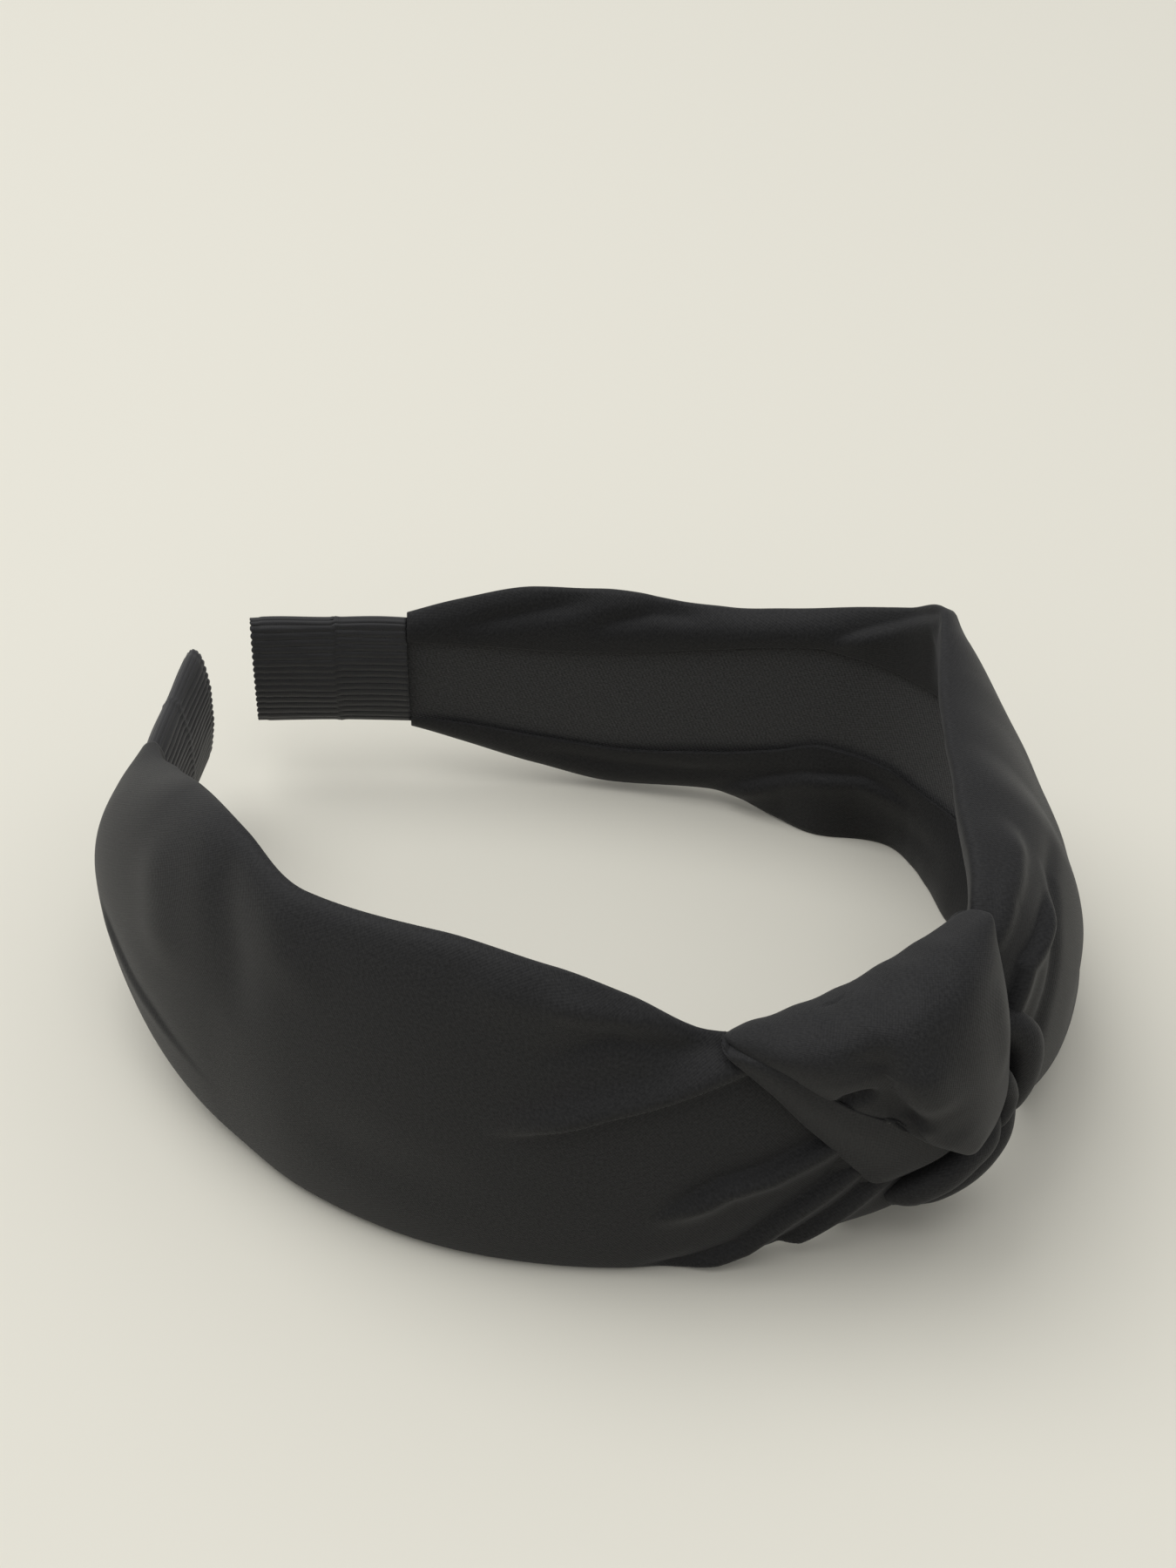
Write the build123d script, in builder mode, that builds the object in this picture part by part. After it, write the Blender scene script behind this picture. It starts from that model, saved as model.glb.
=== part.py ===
"""Knotted headband, lying on its lower edge: core, padding, lining, satin cover, knot and ribbon tips."""

import os
from math import cos, pi, radians, sin

from build123d import *

DEGREES = 180 / pi
LEFT, RIGHT = -1, 1

# Plan of the band: the core's inner line, as tangent arcs (radius, turn) walked from the crown
crown_point = Vector(0.0, -64.45)
crown_heading = -7.0
left_knot_arcs = [(50.0, 34.0)]
left_crown_arcs = [(85.0, 40.0)]
left_leg_arcs = [(85.0, 13.0), (60.0, 54.6)]
left_tip_arcs = [(600.0, 2.4)]
right_crown_arcs = [(52.0, 62.0), (38.0, 52.0)]
right_leg_arcs = [(235.0, 18.0)]
right_tip_arcs = [(235.0, 6.1)]

# Layers, as distances outside the core's inner line
hem_inner, hem_outer = -1.7, -0.95
lining_inner, lining_outer = -0.85, -0.1
core_inner, core_outer = 0.0, 1.6
padding_inner, padding_outer = 1.7, 4.6
satin_inner, satin_outer = 4.7, 5.5
ribbon_inner, ribbon_outer = -1.8, 2.6
ribbon_pocket_inner, ribbon_pocket_outer = -0.95, 1.75
window_inner, window_outer = -2.7, -0.55
gather_outer = 8.6
strap_outer = 10.6
layer_gap = 0.1

# Heights
band_height = 52.0
core_low, core_high = 13.5, 30.5
lining_low, lining_high = 13.2, 30.8
window_low, window_high = 14.5, 29.5
ribbon_low, ribbon_high = 10.9, 32.3
gather_low, gather_high = 7.0, 45.0
strap_low, strap_high = 0.2, 48.0
under, over = -1.0, band_height + 1.0
satin_thickness = 0.8
padding_margin = 1.0
end_wall = 0.8

# Lengths left free along the band, beside each ribbon sleeve and at the ends of core and padding
sleeve_gap = 0.3
core_end_gap = 1.0
padding_end_gap = 3.0

# Side view of the cover's two edges, as (y, z) from the tips to the crown
side_view_edges = {
    LEFT: (
        [(80, 32), (58, 34.5), (35, 46), (5, 52.5), (-20, 52.5), (-38, 47), (-52, 40), (-80, 40)],
        [(80, 10.8), (58, 9.4), (35, 2.5), (15, 0), (-80, -3)],
    ),
    RIGHT: (
        [(80, 32), (50, 35.5), (25, 41), (-10, 42), (-38, 50), (-80, 50)],
        [(80, 10.8), (50, 7.6), (20, 1.5), (0, -1), (-80, -4)],
    ),
}

# Flexing shoulders: the slit between crown and leg, and the hinge's clearance outside the cover
slit = 0.7
hinge_clearance = 0.3

# Knot, its outlines seen from outside, about a point on the band at half its height
knot_turn = 20.0
knot_depth, tuck_depth, loop_depth = 15.6, 13.8, 9.6
lump_profile = [(0.0, 1.0), (0.55, 0.96), (0.85, 0.8), (1.0, 0.5)]
wrap_outline = [(-25, 15), (-8, 23), (10, 25.5), (20, 17), (21, -4), (9, -12), (-8, -9), (-18, 2)]
tuck_outline = [(-24, 12), (-16, -8), (-7, -22), (3, -25), (13, -22), (17, -12), (6, -8), (-10, 2)]
loop_outline = [(17, 17), (25, 14), (28, -2), (24, -17), (16, -17), (14, 0)]
strap_turn_start, strap_turn = 10.0, 18.0

reach = 100.0


def direction(angle):
    """Unit vector in plan at an angle from +X."""
    return Vector(cos(radians(angle)), sin(radians(angle)))


def walk(place, arcs, side):
    """Point and heading at the end of a run of tangent arcs."""
    point, heading = place
    for radius, turn in arcs:
        centre = point + direction(heading + 90 * side) * radius
        heading += side * turn
        point = centre - direction(heading + 90 * side) * radius
    return point, heading


def outward(place, side, distance):
    """Point at a distance outside the band's line."""
    point, heading = place
    return point - direction(heading + 90 * side) * distance


def strip(place, arcs, side, inner, outer, low, high, mode=Mode.ADD):
    """Extrudes the strip of the band between two distances outside its line."""
    with BuildSketch(Plane.XY.offset(low)) as plan:
        with BuildLine():
            for distance in (inner, outer):
                start = outward(place, side, distance)
                heading = place[1]
                for radius, turn in arcs:
                    curve = JernArc(start, direction(heading), radius + distance, side * turn)
                    start = curve @ 1
                    heading += side * turn
            Line(outward(place, side, inner), outward(place, side, outer))
            end = walk(place, arcs, side)
            Line(outward(end, side, inner), outward(end, side, outer))
        make_face()
    extrude(plan.sketch, amount=high - low, mode=mode)


def trim(side, margin=0.0):
    """Cuts the solid to the side view between the cover's two edges."""
    top, bottom = side_view_edges[side]
    with BuildSketch(Plane.YZ) as side_view:
        with BuildLine():
            upper = Spline(*[(y, z - margin) for y, z in top])
            lower = Spline(*[(y, z + margin) for y, z in bottom])
            Line(upper @ 0, lower @ 0)
            Line(upper @ 1, lower @ 1)
        make_face()
    extrude(side_view.sketch, amount=reach, both=True, mode=Mode.INTERSECT)


def write(part, name):
    """Labels a finished piece and writes it under its name."""
    part.label = name
    export_step(part, f"parts/{name}.step")
    written.append(part)


def first(arcs, length):
    """A stretch of that length along the first of the arcs."""
    radius = arcs[0][0]
    return [(radius, length / radius * DEGREES)]


def shortened(arcs, length):
    """The same arcs with a length taken off the end of the last one."""
    radius, turn = arcs[-1]
    return arcs[:-1] + [(radius, turn - length / radius * DEGREES)]


os.makedirs("parts", exist_ok=True)
written = []

# Places along the band where one run of arcs hands over to the next
left_start = (crown_point, crown_heading + 180)
right_start = (crown_point, crown_heading)
left_crown_start = walk(left_start, left_knot_arcs, LEFT)
left_shoulder = walk(left_crown_start, left_crown_arcs, LEFT)
right_shoulder = walk(right_start, right_crown_arcs, RIGHT)
left_leg_start = walk(left_shoulder, first(left_leg_arcs, slit), LEFT)
right_leg_start = walk(right_shoulder, first(right_leg_arcs, slit), RIGHT)

crown_halves = [
    (left_start, left_knot_arcs + left_crown_arcs, LEFT),
    (right_start, right_crown_arcs, RIGHT),
]
legs = {
    "left": (LEFT, left_leg_start, left_leg_arcs, left_tip_arcs),
    "right": (RIGHT, right_leg_start, right_leg_arcs, right_tip_arcs),
}

# Core, lining and padding of the crown, each one strip across it
with BuildPart() as core_crown:
    for start, arcs, side in crown_halves:
        strip(start, arcs, side, core_inner, core_outer, core_low, core_high)
write(core_crown.part, "core_crown")

with BuildPart() as lining_crown:
    for start, arcs, side in crown_halves:
        strip(start, arcs, side, lining_inner, lining_outer, lining_low, lining_high)
write(lining_crown.part, "lining_crown")

padding_halves = []
for start, arcs, side in crown_halves:
    with BuildPart() as padding_half:
        strip(start, arcs, side, padding_inner, padding_outer, padding_margin, band_height - padding_margin)
        trim(side, padding_margin)
    padding_halves.append(padding_half.part)
with BuildPart() as padding_crown:
    add(padding_halves[0])
    add(padding_halves[1])
write(padding_crown.part, "padding_crown")

# Satin cover: a tube of cloth round the padding, open on the inner face between its two hems
covers = {
    "satin_crown_left": (left_crown_start, left_crown_arcs, LEFT),
    "satin_crown_right": (right_start, right_crown_arcs, RIGHT),
    "satin_leg_left": (left_leg_start, left_leg_arcs, LEFT),
    "satin_leg_right": (right_leg_start, right_leg_arcs, RIGHT),
}
for name, (start, arcs, side) in covers.items():
    low, high = satin_thickness, band_height - satin_thickness
    with BuildPart() as pocket:
        strip(start, arcs, side, hem_outer, satin_inner, low, high)
        trim(side, satin_thickness)
    with BuildPart() as cover:
        strip(start, arcs, side, hem_inner, satin_outer, 0, band_height)
        trim(side)
        add(pocket.part, mode=Mode.SUBTRACT)
        strip(start, arcs, side, window_inner, window_outer, window_low, window_high, Mode.SUBTRACT)
    write(cover.part, name)

# Legs: core, lining and padding, and the ribbon wrapped round each tip
for name, (side, start, leg_arcs, tip_arcs) in legs.items():
    whole = shortened(leg_arcs + tip_arcs, core_end_gap)
    with BuildPart() as core_leg:
        strip(start, whole, side, core_inner, core_outer, core_low, core_high)
    write(core_leg.part, f"core_leg_{name}")

    with BuildPart() as lining_leg:
        strip(start, whole, side, lining_inner, lining_outer, lining_low, lining_high)
    write(lining_leg.part, f"lining_leg_{name}")

    padded = shortened(leg_arcs, padding_end_gap)
    with BuildPart() as padding_leg:
        strip(start, padded, side, padding_inner, padding_outer, padding_margin, band_height - padding_margin)
        trim(side, padding_margin)
    write(padding_leg.part, f"padding_leg_{name}")

    sleeve_start = walk(walk(start, leg_arcs, side), first(tip_arcs, sleeve_gap), side)
    pocket_arcs = shortened(tip_arcs, end_wall)
    low, high = ribbon_low + end_wall, ribbon_high - end_wall
    with BuildPart() as pocket:
        strip(sleeve_start, pocket_arcs, side, ribbon_pocket_inner, ribbon_pocket_outer, low, high)
    with BuildPart() as ribbon_tip:
        strip(sleeve_start, tip_arcs, side, ribbon_inner, ribbon_outer, ribbon_low, ribbon_high)
        add(pocket.part, mode=Mode.SUBTRACT)
    write(ribbon_tip.part, f"ribbon_tip_{name}")

# Knot: gathered satin passing through, the wrap round it, the tuck under it and the loop beside it
knot_place = walk(left_start, [(left_knot_arcs[0][0], knot_turn)], LEFT)
knot_point, knot_heading = knot_place
knot_face = Plane(
    origin=(knot_point.X, knot_point.Y, band_height / 2),
    x_dir=-direction(knot_heading),
    z_dir=-direction(knot_heading + 90 * LEFT),
)

with BuildPart() as knot_gather:
    strip(left_start, left_knot_arcs, LEFT, satin_inner, gather_outer, gather_low, gather_high)
write(knot_gather.part, "knot_gather")


def clear_band(outer):
    """Takes the band and its lining out of the solid, out to a distance outside the band's line."""
    for start, arcs, side in crown_halves:
        strip(start, arcs, side, -knot_depth, outer, under, over, Mode.SUBTRACT)


def lump(outline, depth):
    """A cushion of cloth that narrows to a round front, hugging the band's outer face."""
    middle = sum((Vector(*point) for point in outline), Vector()) / len(outline)
    sections = []
    for share, scale in lump_profile:
        with BuildSketch(knot_face.offset(share * depth)) as section:
            with BuildLine():
                Spline(*[middle + (Vector(*point) - middle) * scale for point in outline], periodic=True)
            make_face()
        sections.append(section.sketch)
    loft(sections=sections)
    clear_band(satin_outer + layer_gap)
    strip(left_start, left_knot_arcs, LEFT, core_inner, gather_outer + layer_gap, under, over, Mode.SUBTRACT)


knot_radius = left_knot_arcs[0][0]
strap_start = walk(left_start, [(knot_radius, strap_turn_start)], LEFT)
strap_arcs = [(knot_radius, strap_turn)]
with BuildPart() as knot_wrap:
    lump(wrap_outline, knot_depth)
    strip(strap_start, strap_arcs, LEFT, hem_inner, strap_outer, strap_low, strap_high)
    low, high = strap_low + satin_thickness, strap_high - satin_thickness
    strip(strap_start, strap_arcs, LEFT, hem_outer, gather_outer + layer_gap, low, high, Mode.SUBTRACT)
write(knot_wrap.part, "knot_wrap")

with BuildPart() as knot_tuck:
    lump(tuck_outline, tuck_depth)
    add(knot_wrap.part, mode=Mode.SUBTRACT)
write(knot_tuck.part, "knot_tuck")

with BuildPart() as knot_loop:
    lump(loop_outline, loop_depth)
    add(knot_wrap.part, mode=Mode.SUBTRACT)
    add(knot_tuck.part, mode=Mode.SUBTRACT)
write(knot_loop.part, "knot_loop")

# Hinge lines of the two shoulders, and the whole assembly's box
shoulders = {
    "left": (left_shoulder, left_leg_arcs, LEFT),
    "right": (right_shoulder, right_leg_arcs, RIGHT),
}
for name, (shoulder, leg_arcs, side) in shoulders.items():
    hinge = outward(walk(shoulder, first(leg_arcs, slit / 2), side), side, satin_outer + hinge_clearance)
    print(f"{name} hinge at {hinge.X:.3f}, {hinge.Y:.3f}")
whole_box = Compound(children=written).bounding_box()
print("box", whole_box.min, whole_box.max, whole_box.size)
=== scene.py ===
"""Knotted satin headband: cloth, knot, lining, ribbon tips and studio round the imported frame."""

import bpy
import numpy as np
from math import cos, pi, radians, sin
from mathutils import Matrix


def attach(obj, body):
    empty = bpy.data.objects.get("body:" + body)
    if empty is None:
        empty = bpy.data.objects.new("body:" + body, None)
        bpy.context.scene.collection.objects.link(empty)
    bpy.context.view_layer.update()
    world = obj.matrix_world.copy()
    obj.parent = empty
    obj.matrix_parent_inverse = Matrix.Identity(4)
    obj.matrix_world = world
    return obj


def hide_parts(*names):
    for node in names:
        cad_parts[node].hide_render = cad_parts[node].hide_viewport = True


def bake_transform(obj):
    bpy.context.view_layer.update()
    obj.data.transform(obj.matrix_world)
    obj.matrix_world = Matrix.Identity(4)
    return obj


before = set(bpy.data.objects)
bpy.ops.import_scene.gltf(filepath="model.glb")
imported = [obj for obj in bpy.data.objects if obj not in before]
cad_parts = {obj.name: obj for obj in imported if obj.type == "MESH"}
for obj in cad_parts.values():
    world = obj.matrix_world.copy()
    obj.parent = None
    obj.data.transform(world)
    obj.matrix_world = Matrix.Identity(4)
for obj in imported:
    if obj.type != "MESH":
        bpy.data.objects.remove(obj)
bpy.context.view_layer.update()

MM = 0.001
LEFT, RIGHT = -1, 1

# Plan of the band's core, as tangent arcs (radius, turn) walked from the crown, in mm and degrees
CROWN = np.array([0.0, -64.45])
CROWN_HEADING = -7.0
ARCS = {
    LEFT: [(50.0, 34.0), (85.0, 53.0), (60.0, 54.6), (600.0, 2.4)],
    RIGHT: [(52.0, 62.0), (38.0, 52.0), (235.0, 24.1)],
}
LENGTH = {side: sum(radius * radians(turn) for radius, turn in arcs) for side, arcs in ARCS.items()}
RIBBON = 25.0
BODY = {LEFT: "leg_left", RIGHT: "leg_right"}
SIDE_NAME = {LEFT: "left", RIGHT: "right"}

# Width of the step where the two hands of a fold meet, and the gap kept under the cloth, in mm
EDGE_SOFTNESS = 0.6
FLOOR_GAP = 0.4

# Thickness of each material, in mm
COVER_THICKNESS = 0.45
FLAP_THICKNESS = 0.4
LINING_THICKNESS = 0.6
CORE_THICKNESS = 1.6
PADDING_THICKNESS = 1.5
RIBBON_THICKNESS = 0.35

rng = np.random.default_rng(7)


# ---------------------------------------------------------------- band coordinates

def plan(angle):
    """Unit vector in plan."""
    return np.array([cos(radians(angle)), sin(radians(angle))])


def band(length, side):
    """Point on the core's line and its outward normal, at a length from the crown."""
    heading = CROWN_HEADING if side == RIGHT else CROWN_HEADING + 180
    point, left = CROWN, length
    for number, (radius, turn) in enumerate(ARCS[side]):
        last = number == len(ARCS[side]) - 1
        here = left if last else min(left, radius * radians(turn))
        centre = point + plan(heading + 90 * side) * radius
        heading += side * np.degrees(here / radius)
        point = centre - plan(heading + 90 * side) * radius
        left -= here
        if left <= 0:
            break
    return point, -plan(heading + 90 * side)


def place(s, n, z):
    """Row-frame point of band coordinates: s along the band (left negative), n outward, z up."""
    point, normal = band(abs(s), RIGHT if s >= 0 else LEFT)
    x, y = point + normal * n
    return np.array([x, y, z])


def along(stations, lengths):
    """Every column of a station table at the lengths, by monotone cubics."""
    table = np.array(stations, float)
    x = table[:, 0]
    result = np.empty((len(lengths), table.shape[1] - 1))
    cell = np.clip(np.searchsorted(x, lengths) - 1, 0, len(x) - 2)
    step = np.diff(x)
    t = (lengths - x[cell]) / step[cell]
    for column in range(1, table.shape[1]):
        y = table[:, column]
        slope = np.diff(y) / step
        tangent = np.concatenate([slope[:1], np.zeros(len(x) - 2), slope[-1:]])
        for i in range(1, len(x) - 1):
            if slope[i - 1] * slope[i] > 0:
                before, after = 2 * step[i] + step[i - 1], step[i] + 2 * step[i - 1]
                tangent[i] = (before + after) / (before / slope[i - 1] + after / slope[i])
        start, end = y[cell], y[cell + 1]
        result[:, column - 1] = (
            (2 * t**3 - 3 * t**2 + 1) * start
            + (t**3 - 2 * t**2 + t) * step[cell] * tangent[cell]
            + (3 * t**2 - 2 * t**3) * end
            + (t**3 - t**2) * step[cell] * tangent[cell + 1]
        )
    return result


# ---------------------------------------------------------------- meshes

def grid_mesh(name, points, uv):
    """A mesh object from a grid of points in mm, with its own UVs in metres of cloth."""
    rows, columns = points.shape[:2]
    vertices = (points.reshape(-1, 3) * MM).tolist()
    faces = [
        (i * columns + j, (i + 1) * columns + j, (i + 1) * columns + j + 1, i * columns + j + 1)
        for i in range(rows - 1)
        for j in range(columns - 1)
    ]
    mesh = bpy.data.meshes.new(name)
    mesh.from_pydata(vertices, [], faces)
    layer = mesh.uv_layers.new(name="cloth")
    index = np.empty(len(mesh.loops), int)
    mesh.loops.foreach_get("vertex_index", index)
    layer.data.foreach_set("uv", (uv.reshape(-1, 2) * MM)[index].ravel())
    mesh.polygons.foreach_set("use_smooth", [True] * len(mesh.polygons))
    piece = bpy.data.objects.new(name, mesh)
    bpy.context.scene.collection.objects.link(piece)
    return piece


def cloth_uv(points):
    """Lengths along both directions of a grid, as cloth coordinates."""
    across = np.cumsum(np.linalg.norm(np.diff(points, axis=1, prepend=points[:, :1]), axis=2), axis=1)
    down = np.cumsum(np.linalg.norm(np.diff(points, axis=0, prepend=points[:1]), axis=2), axis=0)
    middle = across[:, across.shape[1] // 2][:, None]
    return np.stack([down[:, down.shape[1] // 2][:, None] + 0 * across, across - middle], axis=2)


def normals(points):
    """Unit normals of a grid, turned by hand of its two directions."""
    d0 = np.gradient(points, axis=0)
    d1 = np.gradient(points, axis=1)
    n = np.cross(d0, d1)
    return n / np.maximum(np.linalg.norm(n, axis=2, keepdims=True), 1e-9)


def thicken(piece, thickness):
    """Gives a cloth its thickness in mm, inward from its face, and applies it."""
    modifier = piece.modifiers.new("thickness", "SOLIDIFY")
    modifier.thickness = thickness * MM
    modifier.offset = -1.0
    modifier.use_even_offset = False
    apply(piece)


def apply(piece):
    """Applies every modifier on a piece."""
    bpy.context.view_layer.objects.active = piece
    bpy.ops.object.select_all(action="DESELECT")
    piece.select_set(True)
    for modifier in list(piece.modifiers):
        bpy.ops.object.modifier_apply(modifier=modifier.name)


def spline(grid, rows, columns):
    """A control grid made fine by uniform Catmull-Rom curves both ways."""
    def refine(values, count):
        padded = np.concatenate([2 * values[:1] - values[1:2], values, 2 * values[-1:] - values[-2:-1]])
        u = np.linspace(0, len(values) - 1, count)
        i = np.minimum(u.astype(int), len(values) - 2)
        t = (u - i).reshape((-1,) + (1,) * (values.ndim - 1))
        a, b, c, d = padded[i], padded[i + 1], padded[i + 2], padded[i + 3]
        square = (2 * a - 5 * b + 4 * c - d) * t**2
        cube = (3 * b - a - 3 * c + d) * t**3
        return 0.5 * (2 * b + (c - a) * t + square + cube)

    fine = refine(np.array(grid, float), rows)
    return refine(fine.swapaxes(0, 1), columns).swapaxes(0, 1)


def placed(coordinates):
    """A grid of band coordinates (s, n, z) as row-frame points."""
    flat = coordinates.reshape(-1, 3)
    return np.array([place(*p) for p in flat]).reshape(coordinates.shape)


def fold(s, z, path, left, right, fade=(0.35, 0.35)):
    """Height of one fold along a path of (s, z).

    left and right are its (height, width) on either hand of the path, and fade is the share of the
    path over which it rises at its start and falls at its end.
    """
    path = np.array(path, float)
    pieces = np.diff(path, axis=0)
    lengths = np.linalg.norm(pieces, axis=1)
    nearest = np.full(s.shape, np.inf)
    signed = np.zeros(s.shape)
    share = np.zeros(s.shape)
    start = 0.0
    for (ps, pz), (ds, dz), length in zip(path[:-1], pieces, lengths):
        t = np.clip(((s - ps) * ds + (z - pz) * dz) / length**2, 0, 1)
        gap_s, gap_z = s - ps - t * ds, z - pz - t * dz
        distance = np.hypot(gap_s, gap_z)
        closer = distance < nearest
        nearest = np.where(closer, distance, nearest)
        signed = np.where(closer, np.sign(ds * gap_z - dz * gap_s) * distance, signed)
        share = np.where(closer, (start + t * length) / lengths.sum(), share)
        start += length
    ends = np.ones(s.shape)
    for reach, from_end in zip(fade, (share, 1 - share)):
        if reach > 0:
            level = np.clip(from_end / reach, 0, 1)
            ends *= level * level * (3 - 2 * level)
    on_left = 0.5 + 0.5 * np.tanh(signed / EDGE_SOFTNESS)
    left_height = left[0] * np.exp(-((nearest / left[1]) ** 2))
    right_height = right[0] * np.exp(-((nearest / right[1]) ** 2))
    return (on_left * left_height + (1 - on_left) * right_height) * ends


WAVES = 7


def unevenness(s, z, amount, scale):
    """Gentle seeded waves, so that no stretch of cloth is perfectly even."""
    total = np.zeros(s.shape)
    for _ in range(WAVES):
        angle, phase = rng.uniform(0, pi), rng.uniform(0, 2 * pi)
        wave = 2 * pi / (scale * rng.uniform(0.7, 1.8))
        total += np.sin(wave * (s * cos(angle) + z * sin(angle)) + phase)
    return total * amount / WAVES


# ---------------------------------------------------------------- satin cover

# Line of the hem edges, and where a hem's curl is fullest, as a share of its height
HEM_N = -1.1
HEM_CURL_AT = 0.35
# Rows round the section, and the share of them on each of its four parts
ROWS = 201
SHARES = (0.15, 0.35, 0.35, 0.15)
# Columns along a leg, closer together near the knot by this power
COLUMNS = 341
CLOSER = 1.35
# Share of the rows over which outer folds give way to hem folds
OUTER_MARGIN = 0.05
# Height and length of the cover's gentle waves, and the length over which folds die out at the ribbon
UNEVEN_HEIGHT = 0.35
UNEVEN_LENGTH = 45.0
RIBBON_FADE = 8.0


def section(row):
    """(n, z) outline of the cover, from its lower hem edge round the outside to its upper hem edge."""
    n_low, z_low, n_out, z_out, n_top, z_top, hem_low, hem_top, curl, flat = row
    t = np.linspace(0, 1, 40)[:, None]
    angle = np.linspace(0, pi / 2, 60)
    low, top = np.array([n_low, z_low]), np.array([n_top, z_top])

    def hem(fold, edge_z):
        edge = np.array([HEM_N, edge_z])
        control = np.array([min(HEM_N, fold[0]) - curl, fold[1] + HEM_CURL_AT * (edge_z - fold[1])])
        return (1 - t) ** 2 * fold + 2 * t * (1 - t) * control + t**2 * edge

    def face(fold):
        n = fold[0] + (n_out - fold[0]) * np.cos(angle) ** flat
        z = z_out + (fold[1] - z_out) * np.sin(angle) ** flat
        return np.stack([n, z], axis=1)

    parts = [hem(low, hem_low)[::-1], face(low)[::-1], face(top), hem(top, hem_top)]
    result = []
    for part, share in zip(parts, SHARES):
        lengths = np.concatenate([[0], np.cumsum(np.linalg.norm(np.diff(part, axis=0), axis=1))])
        steps = np.linspace(0, lengths[-1], round(share * (ROWS - 1)) + 1)[:-1]
        result.append(np.stack([np.interp(steps, lengths, part[:, k]) for k in (0, 1)], axis=1))
    result.append(parts[-1][-1:])
    return np.concatenate(result)


# Stations along each leg, in mm: length from the crown; lower fold (n, z); widest line (n, z);
# upper fold (n, z); height of the lower and the upper hem edge; inward curl of the hems; flatness
STATIONS = {
    LEFT: [
        (3, 3.0, 9, 6.0, 16, 1, 32, 14, 30, 1, 1.0),
        (8, 3.8, 6.0, 7.4, 15, 1, 33, 14, 30, 1, 1.0),
        (14, 4.0, 4.6, 7.6, 15, 1, 34, 14, 30, 1, 1.0),
        (22, 3.6, 4.0, 7.2, 15, 1, 36.5, 14, 30, 1, 1.0),
        (30, 3.2, 2.4, 6.9, 15, 1.5, 39, 14, 30, 1, 1.0),
        (40, 4.2, 0.7, 7.4, 15, 1.5, 41, 14, 30, 1, 1.0),
        (50, 5.0, 0.4, 7.8, 14, 1.5, 47, 14, 30, 1, 1.0),
        (60, 5.5, 0.3, 8.4, 16, 1.5, 51.0, 14, 30, 1, 1.0),
        (75, 6.0, 0.3, 9.2, 18, 1, 53.3, 14, 30, 1, 1.0),
        (95, 5.2, 0.5, 8.6, 20, 1, 52.6, 14, 30, 1, 1.0),
        (110, 3.4, 1, 7.4, 22, -3, 53.0, 14, 30, 1, 1.0),
        (130, 2.2, 3.0, 7.4, 22, -6, 48.0, 14, 30, 1.5, 1.0),
        (146, 1.6, 6.5, 8.0, 23, -5.5, 40.5, 14.5, 30, 1.5, 1.0),
        (157, 1.6, 9.6, 6.2, 22, -2.6, 35.3, 15, 29, 0.8, 1.0),
        (164.5, 0.8, 10.6, 3.4, 22, 0.0, 32.6, 16, 28.5, 0.3, 1.0),
    ],
    RIGHT: [
        (-12, -0.5, 14, 3, 24, -0.5, 36, 14, 30, 1, 1.0),
        (0, 1.0, 12, 6, 24, 0, 43, 14, 30, 1, 1.0),
        (5, 2.0, 9.5, 7.5, 23, -2.5, 46.5, 14, 31, 1, 1.0),
        (10, 2.5, 6.5, 8.3, 22, -5.5, 48, 14, 31, 1, 1.0),
        (15, 2.0, 3.5, 8.3, 20, -8.5, 48.8, 14, 31, 1, 1.0),
        (20, 1.0, 1.2, 8.2, 18, -10.8, 49, 14, 31.5, 1, 1.0),
        (27, -1.5, 0.6, 7.9, 16, -12.8, 49.5, 14, 32, 1, 1.0),
        (40, -4.5, 0.4, 7.0, 13, -14.6, 50, 14, 33, 1, 1.2),
        (50, -5.5, 0.3, 6.4, 12, -13.8, 50.2, 14, 33.5, 1, 1.2),
        (60, -6, 0.3, 6.0, 13, -11.2, 50.5, 14.2, 34, 1, 1.12),
        (70, -3.8, 0.3, 5.4, 15, -5.5, 50.8, 14.6, 35, 1, 1.0),
        (75, -2, 0.3, 5.4, 17, -1.0, 50.6, 15, 35.3, 1, 1.0),
        (82, 0, 0.3, 5.6, 20, 1, 46.6, 16.8, 35.9, 1, 1.0),
        (94, -2.5, 0.4, 5.8, 22, 1.2, 42.6, 17.5, 36.8, 1, 1.0),
        (102, -0.6, 1.0, 6.2, 22, 1.4, 40.4, 14.8, 35.6, 1, 1.0),
        (112, 2.0, 2.4, 6.4, 22, 1.5, 38.6, 12.2, 33.2, 1, 1.0),
        (130, 1.0, 1.5, 6.0, 21, 1.5, 39.1, 9.8, 29.5, 1, 1.0),
        (143, 0.5, 4, 5.4, 21, 1.5, 38.5, 10.6, 28.3, 1, 1.0),
        (155, 0, 8.0, 4.2, 21, 1.2, 35.6, 12.2, 28.2, 0.6, 1.0),
        (164, 0.4, 10.6, 3.4, 22, 0.6, 32.4, 13.0, 28.6, 0.3, 1.0),
    ],
}

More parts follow.
